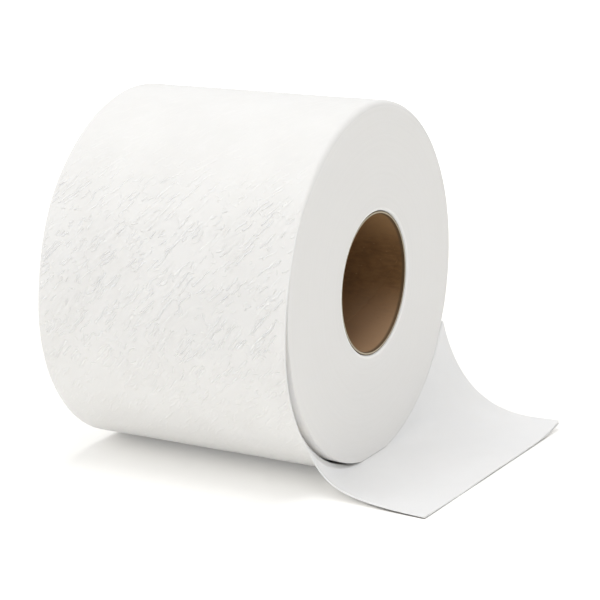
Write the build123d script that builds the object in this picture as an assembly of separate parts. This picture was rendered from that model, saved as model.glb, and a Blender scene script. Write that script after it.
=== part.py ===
from build123d import *
from math import acos, asin, atan2, cos, exp, radians, sin
import os

# A roll of toilet paper on its side, with its last turn slack and the tail of the sheet on the floor.
# X runs along the core, towards the end that the tail leaves by. Y runs to the back and Z up.
# The origin is the middle of the core, and every length is in millimetres.

# Wound paper
ROLL_RADIUS = 60.0
ROLL_WIDTH = 92.0
SHEET = 0.5
RIM_ROUND = 1.8
HOLE_ROUND = 0.7
RIM_BEVELS = 3
FLAT_SQUASH = 0.4

# Cardboard core
CORE_RADIUS = 24.0
CORE_WALL = 0.8
CORE_SLIP = 0.2
CORE_RECESS = 0.5

# Slack last turn: how far it stands out in front, and how far below the axis that is
SLACK_OUT = 2.1
SLACK_LOW = 7.3

# Tail: its reach past the roll at the front and back edge, its front edge's place, its flare
TAIL_REACH_FRONT = 40.7
TAIL_REACH_BACK = 44.2
TAIL_FRONT = 46.9
TAIL_FLARE = 3.0

# The tail falls to the floor along one curve, stretched to the height that it starts from
FALL_RATE_SHARE = 2.86
FALL_POWER_SHARE = 0.9
ALONG_SHARES = (0.03, 0.08, 0.15, 0.24, 0.34, 0.45, 0.58, 0.72, 0.86, 1.0)
ROUND_STEPS = 11

# Line that the turns draw on each end, for every thirtieth turn or so
LINE_TURNS = 3
LINE_WIDTH = 0.3
LINE_DEPTH = 0.25
LINE_MARGIN = 1.2

# Places along the roll and above the floor
end_x = ROLL_WIDTH / 2
sheet_top = FLAT_SQUASH - ROLL_RADIUS
floor_z = sheet_top - SHEET
hole_radius = CORE_RADIUS + CORE_SLIP
half_turn = radians(180)

# The slack turn is two arcs: one from the peel point to the front, one from there to the floor
slack_gap = SLACK_OUT - SHEET
upper_y = (SLACK_LOW ** 2 - slack_gap ** 2) / (2 * slack_gap)
upper_centre = (upper_y, -SLACK_LOW)
upper_radius = upper_y + ROLL_RADIUS + SLACK_OUT
lower_radius = -SLACK_LOW - floor_z
lower_centre = (lower_radius - ROLL_RADIUS - SLACK_OUT, -SLACK_LOW)
peel_angle = atan2(SLACK_LOW, -upper_y)
cut_angle = peel_angle - half_turn
front_angle = half_turn
floor_angle = 1.5 * half_turn
tail_angle = 2 * half_turn - acos((-TAIL_FRONT - lower_centre[0]) / (lower_radius - SHEET))


def polar(radius, angle, centre=(0, 0)):
    """Place across the roll, as (y, z), at a radius and an angle from a centre."""
    return centre[0] + radius * cos(angle), centre[1] + radius * sin(angle)


def point(place, x=0):
    """Point in space at a place across the roll."""
    return Vector(x, *place)


# The turns are half circles about two centres, so each whole turn steps in by one sheet
step_in = SHEET / 4
outer_half_centre = polar(step_in, peel_angle)
inner_half_centre = polar(-step_in, peel_angle)
outer_half_radius = ROLL_RADIUS + 3 * step_in
inner_half_radius = ROLL_RADIUS + step_in
turn_split = Plane(origin=(0, 0, 0), x_dir=(1, 0, 0), z_dir=point(polar(1, peel_angle - half_turn / 2)))


def arc(centre, radius, start, end):
    """Circular edge across the roll between two angles."""
    angles = (start, (start + end) / 2, end)
    return ThreePointArc(*(point(polar(radius, angle, centre)) for angle in angles))


def foot_angle(radius, height):
    """Angle at which a turn at the back comes down to a height."""
    return asin((height - inner_half_centre[1]) / radius) + 2 * half_turn


def drawn_out(edges, start_x, length):
    """Solid of a closed outline across the roll, drawn out along it."""
    outline = Face(Wire(edges)).moved(Location((start_x, 0, 0)))
    return extrude(outline, amount=length, dir=(1, 0, 0))


def round_over(side, radius, rounding):
    """Outline of a rounded rim, as (x, radius) places from the end face to the surface, in short bevels.

    A positive rounding is an outer rim and a negative one the rim of a hole.
    """
    places = []
    for step in range(RIM_BEVELS + 1):
        lean = half_turn / 2 * step / RIM_BEVELS
        depth = abs(rounding) * (1 - sin(lean))
        places.append((side * (end_x - depth), radius - rounding * (1 - cos(lean))))
    return places[::-1]


def turned(radius, rounding):
    """Solid of revolution about the core's axis, from end to end, with both its rims rounded."""
    left = round_over(-1, radius, rounding)
    right = round_over(1, radius, rounding)
    outline = [(-end_x, 0)] + left + right[::-1] + [(end_x, 0)]
    return revolve(Face(Wire.make_polygon([Vector(*place) for place in outline])), Axis.X)


def drum(centre, radius):
    """Cylinder along the roll with soft rims."""
    return Pos(0, *centre) * turned(radius, RIM_ROUND)


def wound_paper():
    """The turns under the slack one: two half drums, with a step of one sheet at the peel point."""
    outer_half = split(drum(outer_half_centre, outer_half_radius), turn_split, keep=Keep.TOP)
    inner_half = split(drum(inner_half_centre, inner_half_radius), turn_split, keep=Keep.BOTTOM)
    return split(outer_half + inner_half, Plane.XY.offset(sheet_top), keep=Keep.TOP)


def slack_turn():
    """The last turn: down the front from the peel point, along the floor and up the back.

    Its two edges come out of the rounded rims between the peel point and the front.
    """
    sides = []
    for inset, height in ((0, floor_z), (SHEET, sheet_top)):
        back_radius = inner_half_radius + SHEET - inset
        foot = foot_angle(back_radius, height)
        front = arc(upper_centre, upper_radius - inset, peel_angle, front_angle)
        under = arc(lower_centre, lower_radius - inset, front_angle, floor_angle)
        back = arc(inner_half_centre, back_radius, foot, cut_angle + 2 * half_turn)
        sides.append([front, under, Line(under @ 1, back @ 0), back])
    outside, inside = sides
    ends = [Line(outside[0] @ 0, inside[0] @ 0), Line(outside[-1] @ 1, inside[-1] @ 1)]
    turn = drawn_out(outside + inside + ends, -end_x, ROLL_WIDTH)
    rise = polar(ROLL_RADIUS, peel_angle)[1] + SLACK_LOW
    for side in (-1, 1):
        out_of_rim = Plane(origin=(side * end_x, 0, -SLACK_LOW), z_dir=(side * rise, 0, RIM_ROUND))
        turn = split(turn, out_of_rim, keep=Keep.BOTTOM)
    return turn


def fallen(height, along):
    """Height that is left of a starting height, some way along the tail."""
    if height <= 0:
        return 0
    return height * exp(-FALL_RATE_SHARE * (along / height) ** FALL_POWER_SHARE)


def tail_place(start, base, share):
    """Where a place of the tail's first section lies, some share of the way to the cut edge."""
    y, z = start
    back_y = polar(inner_half_radius, cut_angle, inner_half_centre)[0]
    spread_y = y + TAIL_FLARE * share * max(0, y) / back_y
    across_share = (spread_y + TAIL_FRONT) / (back_y + TAIL_FLARE + TAIL_FRONT)
    along = share * (TAIL_REACH_FRONT + (TAIL_REACH_BACK - TAIL_REACH_FRONT) * across_share)
    return point((spread_y, base + fallen(z - base, along)), end_x + along)


def tail_round(centre, radius, start, end, base, share):
    """One rounded stretch of the tail's section, which is a plain arc where it leaves the roll."""
    if share == 0:
        return arc(centre, radius, start, end).moved(Location((end_x, 0, 0)))
    steps = [step / ROUND_STEPS for step in range(ROUND_STEPS + 1)]
    places = [polar(radius, start + (end - start) * step, centre) for step in steps]
    return Edge.make_spline([tail_place(place, base, share) for place in places], parameters=steps)


def tail_section(share):
    """Closed outline of the sheet, across the tail."""
    sides = []
    for inset, height in ((0, floor_z), (SHEET, sheet_top)):
        back_radius = inner_half_radius + SHEET - inset
        foot = foot_angle(back_radius, height)
        front = tail_round(lower_centre, lower_radius - inset, tail_angle, floor_angle, height, share)
        back = tail_round(inner_half_centre, back_radius, foot, cut_angle + 2 * half_turn, height, share)
        sides.append([front, Line(front @ 1, back @ 0), back])
    outside, inside = sides
    back_end = Line(outside[-1] @ 1, inside[-1] @ 1)
    front_end = Line(inside[0] @ 0, outside[0] @ 0)
    return Wire(outside + [back_end] + inside[::-1] + [front_end])


def tail():
    """The tail of the sheet, from the roll's end to the cut edge on the floor."""
    return Solid.make_loft([tail_section(share) for share in (0,) + ALONG_SHARES], ruled=True)


def turn_line():
    """Spiral groove for one end: half circles about two centres, a little wider at every half turn."""
    first = hole_radius + HOLE_ROUND + LINE_MARGIN
    last = ROLL_RADIUS - RIM_ROUND - LINE_MARGIN
    growth = (last - first) / (2 * LINE_TURNS)
    sides = []
    for shift in (0, LINE_WIDTH):
        side = []
        for number in range(2 * LINE_TURNS):
            facing = peel_angle + number * half_turn
            centre = polar(-growth / 2, facing)
            radius = first + growth * (number + 1 / 2) + shift
            side.append(arc(centre, radius, facing, facing + half_turn))
        sides.append(side)
    inside, outside = sides
    ends = [Line(inside[0] @ 0, outside[0] @ 0), Line(inside[-1] @ 1, outside[-1] @ 1)]
    return drawn_out(inside + outside + ends, 0, LINE_DEPTH)


def paper_roll():
    """The whole sheet: wound, slack and lying out, in one piece."""
    paper = wound_paper() + slack_turn() + tail()
    paper -= turned(hole_radius, -HOLE_ROUND)
    line = turn_line()
    for x in (-end_x, end_x - LINE_DEPTH):
        paper -= Pos(x, 0, 0) * line
    return paper


def core_tube():
    """The cardboard tube, a little shorter than the paper is wide."""
    length = ROLL_WIDTH - 2 * CORE_RECESS
    outside = Cylinder(CORE_RADIUS, length, rotation=(0, 90, 0))
    return outside - Cylinder(CORE_RADIUS - CORE_WALL, length, rotation=(0, 90, 0))


os.makedirs("parts", exist_ok=True)
export_step(paper_roll(), "parts/paper_roll.step")
export_step(core_tube(), "parts/core_tube.step")
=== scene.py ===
import math

import bmesh
import bpy
import numpy as np
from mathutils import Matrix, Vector


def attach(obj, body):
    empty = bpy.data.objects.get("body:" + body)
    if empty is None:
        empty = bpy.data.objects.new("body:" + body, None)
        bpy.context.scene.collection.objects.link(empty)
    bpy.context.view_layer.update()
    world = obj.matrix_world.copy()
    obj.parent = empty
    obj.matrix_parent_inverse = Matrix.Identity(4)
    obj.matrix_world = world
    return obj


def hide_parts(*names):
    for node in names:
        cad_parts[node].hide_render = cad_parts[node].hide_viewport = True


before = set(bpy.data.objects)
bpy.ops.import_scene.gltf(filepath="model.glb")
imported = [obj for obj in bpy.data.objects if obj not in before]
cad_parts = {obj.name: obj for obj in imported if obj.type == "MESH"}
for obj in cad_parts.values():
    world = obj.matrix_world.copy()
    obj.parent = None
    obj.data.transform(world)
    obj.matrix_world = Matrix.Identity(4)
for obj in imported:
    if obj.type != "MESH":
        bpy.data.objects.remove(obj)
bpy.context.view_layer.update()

# A toilet paper roll on its side, with a slack last turn and the tail of the sheet on the floor.
# X runs along the core, towards the end that the tail leaves by. Y runs to the back and Z up.
# Shapes are worked out in millimetres and written to the meshes in metres.

MM = 0.001
QUARTER = math.pi / 2
HALF = math.pi
ALONG = np.array([1.0, 0.0, 0.0])
LEAST_LENGTH = 1e-9

# Wound paper
ROLL_RADIUS = 60.0
END_X = 46.0
SHEET = 0.5
RIM_ROUND = 1.8
HOLE_ROUND = 0.7
FLAT_SQUASH = 0.4
SHEET_TOP = FLAT_SQUASH - ROLL_RADIUS
FLOOR_Z = SHEET_TOP - SHEET

# Cardboard core
CORE_RADIUS = 24.0
CORE_WALL = 0.8
CORE_SLIP = 0.2
CORE_RECESS = 0.5
HOLE_RADIUS = CORE_RADIUS + CORE_SLIP
CORE_PITCH = 87.0
CORE_LAP = 0.125
CORE_LAP_SHARE = 0.12

# Slack last turn: two arcs, from the peel point to the front and from there to the floor
SLACK_OUT = 2.1
SLACK_LOW = 7.3
SLACK_GAP = SLACK_OUT - SHEET
UPPER_Y = (SLACK_LOW ** 2 - SLACK_GAP ** 2) / (2 * SLACK_GAP)
UPPER_CENTRE = (UPPER_Y, -SLACK_LOW)
UPPER_RADIUS = UPPER_Y + ROLL_RADIUS + SLACK_OUT
LOWER_RADIUS = -SLACK_LOW - FLOOR_Z
LOWER_CENTRE = (LOWER_RADIUS - ROLL_RADIUS - SLACK_OUT, -SLACK_LOW)
PEEL_ANGLE = math.atan2(SLACK_LOW, -UPPER_Y)
CUT_ANGLE = PEEL_ANGLE - HALF
FLOOR_ANGLE = 1.5 * HALF

# The turns are half circles about two centres
STEP_IN = SHEET / 4
OUTER_HALF_RADIUS = ROLL_RADIUS + 3 * STEP_IN
INNER_HALF_RADIUS = ROLL_RADIUS + STEP_IN

# Inner side of the slack turn: how far in from its edges the sag is full, between which depths below
# and in front of the axis it sets in, and the gap that is left to the turn below
INNER_SAG_DEPTH = 3.6
INNER_SAG_LOW = (12.0, 30.0)
INNER_SAG_FRONT = (8.0, 20.0)
INNER_SAG_GAP = 0.7

# Rims: the stretch over which the sheet's edge becomes a rounded rim at the peel point, the stretch
# over which that rim grows, and the rim of the turn below, with the place where it begins
RIM_TURN_RUN = 6.0
RIM_RUN = 26.0
BODY_RIM = 0.5
BODY_RIM_START = -1.0

# Tail: its reach past the roll at the front and back edge, its flare at the back, and its front edge's
# place at the roll's end and at the cut edge, with the power by which it gets from one to the other
TAIL_REACH_FRONT = 40.7
TAIL_REACH_BACK = 44.2
TAIL_FLARE = 3.0
TAIL_FRONT_START = 43.6
TAIL_FRONT = 46.9
TAIL_FRONT_GROWTH = 0.64

# Fall of the tail to the floor, at the back and at the front edge
FALL_RATE = 2.86
FALL_POWER = 0.9
FRONT_FALL_RATE = 1.58
FRONT_FALL_POWER = 0.81
LEAST_DROP = 1e-6

# Rounded corner where the tail's front edge leaves the roll: its size round the roll, its reach along
# the tail, and how far round the roll it fades
TAIL_CORNER = 6.8
TAIL_CORNER_REACH = 4.1
TAIL_CORNER_FADE = 22.0

# The tail stands a little off the floor, in waves, and its far corner curls up. Each wave is its size,
# its rates along and across the tail and its start.
TAIL_LIFT = 0.3
TAIL_LIFT_MIDDLE = 0.5
TAIL_WAVES = ((0.3, 0.0, 0.085, 0.6), (0.2, -0.05, 0.19, 0.0))
TAIL_CURL = 1.1
TAIL_CURL_REACH = 15.0

# The plies part at the far corner. The groove between them goes in from the edge, towards a place some
# columns and rows of the mesh away.
PLY_SHARE = 0.42
PLY_SPLIT = 0.7
PLY_SPLIT_REACH = 9.0
PLY_GROOVE = 0.12
PLY_GROOVE_DEPTH = 3.0
PLY_GROOVE_COLUMNS = 2
PLY_GROOVE_ROWS = 10

# Mesh steps
ROW_STEP = 0.62
COLUMN_STEP = 1.0
LEAN_ROWS = 2
TAIL_COLUMNS = 40
TAIL_CROWDING = 1.35
EDGE_STEPS = 4
EDGE_BULGE = 0.12
FACE_RINGS = 6
HOLE_RINGS = 3
BODY_STEP = 2.2
INNER_COLUMNS = 4
INNER_DEPTHS = np.array([0.7, 1.4, 2.2, 3.0, 4.2])
CORE_SIDES = 144
CORE_STEPS = 36
SHARP_ANGLE = math.radians(62)

# Embossing in the mesh, in groups of strokes side by side and small curled ones between them. A pair is
# the ends of an even range, and a spread is that of draws about a middle.
SEED = 11
FIELD_STEP = 0.2
FIELD_MARGIN = 2.0
STROKE_LEAN = math.radians(49)
STROKE_REACH = 3.0
GROUP_COUNT = 480
GROUP_SPACING = (1.5, 2.1)
GROUP_NUMBER = (2, 6)
GROUP_STROKE = {"length": (2.4, 7.0), "width": (0.27, 0.38), "height": (0.14, 0.30)}
GROUP_LEAN_SPREAD = 0.16
GROUP_SHIFT_SPREAD = 1.3
GROUP_BEND_SPREAD = 0.012
GROUP_SWING_SPREAD = 0.05
SQUIGGLE_COUNT = 1700
SQUIGGLE_STROKE = {"length": (0.6, 2.4), "width": (0.28, 0.4), "height": (0.08, 0.2)}
SQUIGGLE_LEAN = 0.25
SQUIGGLE_LEAN_SPREAD = 0.7
SQUIGGLE_BEND_SPREAD = 0.22

# Fades of the embossing: what is left of it low down and at the top, the heights between which it goes,
# and how far from the cut edges, from the rim and above the floor it is full
PRESSED_LOW = 0.12
PRESSED_LOW_HEIGHTS = (-57.0, 6.0)
PRESSED_TOP = 0.12
PRESSED_TOP_HEIGHTS = (26.0, 50.0)
CUT_FADE = 1.5
RIM_FADE = 1.2
FLOOR_FADE = (0.5, 4.0)

# Soft unevenness of the wound turns: crossing waves, each with its size, its rates along and round the
# roll and its start, and the stretches over which they fade at the cut edges and above the floor. On
# the end faces the rates are those round the face, from its rim inwards and from side to side.
WAVES = ((1.0, 0.13, 0.05, 1.0), (1.0, 0.07, -0.11, 2.3), (0.7, 0.21, 0.16, 0.4), (0.6, -0.17, 0.27, 0.0))
WOBBLE = 0.1
WOBBLE_CUT_FADE = 12.0
WOBBLE_FLOOR_FADE = (2.0, 14.0)
END_WOBBLE = 0.12
END_WOBBLE_RATES = (9.0, 40.0, 30.0)
END_SINK = 0.05

# Paper finish: colours, and sizes in metres
TISSUE_SIDE = (0.845, 0.838, 0.822)
TISSUE_SHADE = (0.822, 0.814, 0.797)
# Painted highlight: the crests of the pressed strokes are coloured paler, standing in for light catching
# them
TISSUE_CREST_HIGHLIGHT = (0.98, 0.973, 0.957)
# Painted light: the side is coloured paler low down, between these heights, for floor bounce and light
# through the slack turn
TISSUE_LOW_PAINTED_LIGHT = (0.985, 0.975, 0.952)
PAINTED_LIGHT_HEIGHTS = (-0.043, -0.0585)
TISSUE_END = (0.872, 0.862, 0.842)
TISSUE_END_DARK = (0.85, 0.839, 0.818)
TISSUE_HOLE = (0.95, 0.94, 0.915)
TISSUE_HOLE_RADII = (0.0256, 0.0248)
# Painted warm bounce light: the turn under the slack one is tinted warmer and paler than the same paper
# elsewhere, for light bouncing in the gap
TISSUE_TURN_PAINTED_BOUNCE = (0.9, 0.875, 0.835)
TISSUE_INNER = (0.862, 0.862, 0.86)
TISSUE_INNER_DARK = (0.842, 0.842, 0.84)
PAPER_SOFT = {"Subsurface_Weight": 0.6, "Subsurface_Scale": 0.0005, "Subsurface_Radius": (1.0, 0.98, 0.94),
              "Specular_IOR_Level": 0.2, "Sheen_Weight": 0.06, "Sheen_Roughness": 0.6}
TURN_SOFT = {"Subsurface_Weight": 1.0, "Subsurface_Scale": 0.005}
PRESSED_DEPTH = 0.00034
TURN_PITCH = 0.0005
TURN_DEPTH = 0.00003
TURN_WANDER = 0.0016

# Shares of fibres, the painted highlight on stroke crests, packed turns, their ridges and crepe in the
# paper's tone and relief, and the range over which the end's tone goes from dark to pale
CREST_HIGHLIGHT_SHARE = 0.95
SIDE_GRAIN = 0.12
FIBRE_SHARE = 0.5
PACKED_SHARE = 0.8
RIDGE_SHARE = 0.3
END_TONE_GRAIN = 0.5
END_TONE = (0.35, 1.1)
END_GRAIN = 0.9
CREPE_SHARE = 0.8

# Pressed strokes in the relief of the paper, in millimetres of the unrolled sheet: each kind has at most
# one stroke in a cell, and left_out is the share of cells without one
STROKES = {
    "long": {"shift": (3.0, 8.0, 0.0), "cell": (10.5, 1.9, 1.0), "length": 9.0, "width": 0.5,
             "swing": 0.12, "bend": 0.012, "left_out": 0.15},
    "short": {"shift": (41.0, 17.0, 0.0), "cell": (4.2, 2.2, 1.0), "length": 3.2, "width": 0.42,
              "swing": 0.42, "bend": 0.16, "left_out": 0.45},
    "curls": {"shift": (77.0, 53.0, 0.0), "cell": (2.6, 2.0, 1.0), "length": 1.7, "width": 0.36,
              "swing": 1.5, "bend": 0.5, "left_out": 0.68},
}
CELL_STRAY = 0.9
KEPT_RATE = 7.0
KEPT_FADE = 0.1
WAVER = (1.6, 1.6, 0.0)
LONG_PATCHES = (0.38, 0.56)
SHORT_PATCHES = (0.68, 0.42)
SHORT_SHARE = 0.8
CURL_SHARE = 0.5

# Noises: repeats per metre, or per millimetre of the unrolled sheet for the waver and the patches, then
# detail, roughness and, where it is drawn out, its stretch
NOISES = {
    "waver": (0.22, 2.0, 0.5),
    "patches": (0.075, 2.0, 0.55),
    "fibres": (2600.0, 4.0, 0.6, (0.4, 1.0, 1.0)),
    "fibre_cloud": (700.0, 3.0, 0.5),
    "side_cloud": (55.0, 3.0, 0.55),
    "inner_cloud": (45.0, 3.0, 0.55),
    "crepe": (900.0, 2.0, 0.5, (1.0, 0.12, 0.12)),
    "turn_wander": (40.0, 2.0, 0.55),
    "packed_turns": (900.0, 3.0, 0.5),
    "card_fibres": (900.0, 5.0, 0.65, (0.25, 1.0, 1.0)),
    "card_blotches": (130.0, 4.0, 0.6),
    "card_flecks": (1500.0, 2.0, 0.5, (0.5, 1.0, 1.0)),
    "card_cut": (2200.0, 4.0, 0.6),
}
MIDDLE = (0.3, 0.7)

# Roughness of each finish: its plain value, and its lowest and highest over the grain
ROUGH = {
    "side": (0.92, 0.86, 0.97),
    "end": (0.95, 0.9, 0.98),
    "inner": (0.93, 0.88, 0.97),
    "card": (0.8, 0.7, 0.9),
    "card_edge": (0.9,),
    "floor": (1.0,),
}

# Card finish: colours, and heights, places along the tube, radii and depths in metres
CARD_LIGHT = (0.235, 0.127, 0.05)
CARD_DARK = (0.165, 0.084, 0.031)
CARD_FLECK = (0.36, 0.22, 0.11)
CARD_FLECKS = (0.68, 0.76, 0.0, 0.6)
CARD_MIDDLE = (0.35, 0.65)
# Painted light: the top of the inside is coloured paler above these heights
CARD_TOP_PAINTED_LIGHT = (0.33, 0.19, 0.085)
CARD_TOP_LIGHT_HEIGHTS = (0.006, 0.02)
# Painted light: the low part of the inside near each mouth is coloured paler, as if lit from above
CARD_MOUTH_PAINTED_LIGHT = (0.49, 0.31, 0.18)
CARD_MOUTH_LIGHT_HEIGHTS = (-0.003, -0.022)
CARD_MOUTH_LIGHT_PLACES = (0.014, 0.04)
# Painted shade: a dark band inside the tube next to each mouth, in the colour of the shade line below
CARD_RIM_SHADE_PLACES = (0.0441, 0.045)
CARD_RIM_SHADE_SHARE = 0.8
CARD_FIBRE_SHARE = 0.5
CARD_DEPTH = 0.0001
CARD_GLOSS = 0.25
CARD_EDGE = (0.62, 0.56, 0.44)
CARD_EDGE_DARK = (0.45, 0.385, 0.28)
# Painted shade: dark colour for the shaded band inside the rim and the lines along the cut edge's rims
CARD_PAINTED_SHADE_LINE = (0.11, 0.075, 0.04)
CARD_SHADE_LINE_OUTER = (0.02375, 0.02392)
CARD_SHADE_LINE_INNER = (0.02342, 0.02328)
CARD_EDGE_GLOSS = 0.2
CARD_EDGE_DEPTH = 0.00008
CARD_PLY = 0.00027
CARD_PLY_SHARE = 0.12

# Floor, lights and room, in metres
FLOOR_HALF = 4.0
FLOOR_SINK = 0.00005
FLOOR_PALE = (0.97, 0.962, 0.94)
FLOOR_GLOW = 0.165
FLOOR_FAR_GLOW = 0.6
FLOOR_FAR = (0.2, 0.9)
# Painted contact shadow: the floor's colour, seen by the camera, where the roll and the sheet nearly touch
# it
FLOOR_PAINTED_CONTACT_SHADE = (0.12, 0.11, 0.1)
SHADE_REACH = 0.0012
SHADE_SAMPLES = 8
SHADE_OPEN = (0.05, 0.75)
ROOM_LIGHT = 0.66
LAMPS = {
    "top": {"place": (0.0, -0.1, 1.5), "size": (0.9, 0.9), "power": 8.7},
    "key": {"place": (-0.5, -0.8, 1.2), "size": (0.5, 0.5), "power": 1.3},
    "strip": {"place": (-0.3, -1.2, 0.05), "size": (1.4, 0.2), "power": 1.7},
    "right": {"place": (0.9, -0.8, 0.95), "size": (0.5, 0.5), "power": 0.7},
}

# Camera at the photograph's angle, in metres
CAMERA_AZIMUTH = math.radians(28.517)
CAMERA_RISE = math.radians(13.778)
CAMERA_DISTANCE = 0.6451
CAMERA_TARGET = (0.01748, 0.0, -0.00902)
CAMERA_LENS = 114.19
CAMERA_SENSOR = 36.0


def polar(radius, angle, centre=(0, 0)):
    """Place across the roll, as (y, z), at a radius and an angle from a centre."""
    return centre[0] + radius * math.cos(angle), centre[1] + radius * math.sin(angle)


OUTER_HALF_CENTRE = polar(STEP_IN, PEEL_ANGLE)
INNER_HALF_CENTRE = polar(-STEP_IN, PEEL_ANGLE)


def smooth(low, high, value):
    """0 below low, 1 above high and an even blend between them."""
    share = np.clip((np.asarray(value, float) - low) / (high - low), 0, 1)
    return share * share * (3 - 2 * share)


def unit(vectors):
    """Vectors made one long."""
    return vectors / np.maximum(np.linalg.norm(vectors, axis=-1, keepdims=True), LEAST_LENGTH)


def arc_run(centre, radius, start, end):
    """A stretch of a path: an arc across the roll."""
    return {"length": radius * abs(end - start), "centre": centre, "radius": radius, "angles": (start, end)}


def flat_run(start, end, normal):
    """A stretch of a path: a straight line with one outward direction."""
    return {"length": math.dist(start, end), "ends": (start, end), "normal": normal}


def stops_of(path):
    """Distances at which each stretch of a path starts, and its length."""
    return np.cumsum([0] + [run["length"] for run in path])


def follow(path, distances):
    """Places and outward directions at distances along a path of arcs and lines."""
    distances = np.asarray(distances, float)
    places = np.zeros(distances.shape + (2,))
    normals = np.zeros(distances.shape + (2,))
    stops = stops_of(path)
    number = np.clip(np.searchsorted(stops, distances, "right") - 1, 0, len(path) - 1)
    for place, run in enumerate(path):
        here = number == place
        share = ((distances[here] - stops[place]) / run["length"])[:, None]
        if "centre" in run:
            start, end = run["angles"]
            angle = start + (end - start) * share
            normals[here] = np.concatenate([np.cos(angle), np.sin(angle)], 1)
            places[here] = np.array(run["centre"]) + run["radius"] * normals[here]
        else:
            start, end = np.array(run["ends"])
            places[here] = start + (end - start) * share
            normals[here] = run["normal"]
    return places, normals


def foot_angle(radius, height):
    """Angle at which a turn at the back comes down to a height."""
    return math.asin((height - INNER_HALF_CENTRE[1]) / radius) + 2 * HALF


def slack_path(inset):
    """The slack turn from its cut edge at the back, under the roll and up the front to the peel point."""
    back_radius = INNER_HALF_RADIUS + SHEET - inset
    height = FLOOR_Z + inset
    foot = foot_angle(back_radius, height)
    return [
        arc_run(INNER_HALF_CENTRE, back_radius, CUT_ANGLE + 2 * HALF, foot),
        flat_run(polar(back_radius, foot, INNER_HALF_CENTRE), (LOWER_CENTRE[0], height), (0, -1)),
        arc_run(LOWER_CENTRE, LOWER_RADIUS - inset, FLOOR_ANGLE, HALF),
        arc_run(UPPER_CENTRE, UPPER_RADIUS - inset, HALF, PEEL_ANGLE),
    ]


def body_path():
    """The turn under the slack one, from the peel point down the front and round to the cut edge."""
    low = foot_angle(INNER_HALF_RADIUS, SHEET_TOP)
    front_low = 3 * HALF - low
    front_foot = polar(INNER_HALF_RADIUS, front_low, INNER_HALF_CENTRE)
    back_foot = polar(INNER_HALF_RADIUS, low, INNER_HALF_CENTRE)
    return [
        arc_run(INNER_HALF_CENTRE, INNER_HALF_RADIUS, PEEL_ANGLE, front_low),
        flat_run(front_foot, back_foot, (0, -1)),
        arc_run(INNER_HALF_CENTRE, INNER_HALF_RADIUS, low, CUT_ANGLE + 2 * HALF),
    ]


def in_space(places, x):
    """Points in space from places across the roll and places along it."""
    x = np.broadcast_to(x, places.shape[:-1])
    return np.concatenate([x[..., None], places], -1)


def tail_points(places, share, base):
    """Where places of the tail's first section lie, some share of the way to the cut edge."""
    start_y = places[..., 0]
    back_y = polar(INNER_HALF_RADIUS, CUT_ANGLE, INNER_HALF_CENTRE)[0]
    at_front = np.clip(-start_y / TAIL_FRONT_START, 0, 1) ** 2
    front_flare = (TAIL_FRONT - TAIL_FRONT_START) * share ** TAIL_FRONT_GROWTH
    spread_y = start_y + TAIL_FLARE * share * np.maximum(0, start_y) / back_y - front_flare * at_front
    across = np.clip((spread_y + TAIL_FRONT) / (back_y + TAIL_FLARE + TAIL_FRONT), 0, 1)
    along = share * (TAIL_REACH_FRONT + (TAIL_REACH_BACK - TAIL_REACH_FRONT) * across)
    rate = FALL_RATE + (FRONT_FALL_RATE - FALL_RATE) * at_front
    power = FALL_POWER + (FRONT_FALL_POWER - FALL_POWER) * at_front
    drop = np.maximum(places[..., 1] - base, LEAST_DROP)
    height = base + drop * np.exp(-rate * (along / drop) ** power)
    return np.stack([END_X + along, spread_y, height], -1)


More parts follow.
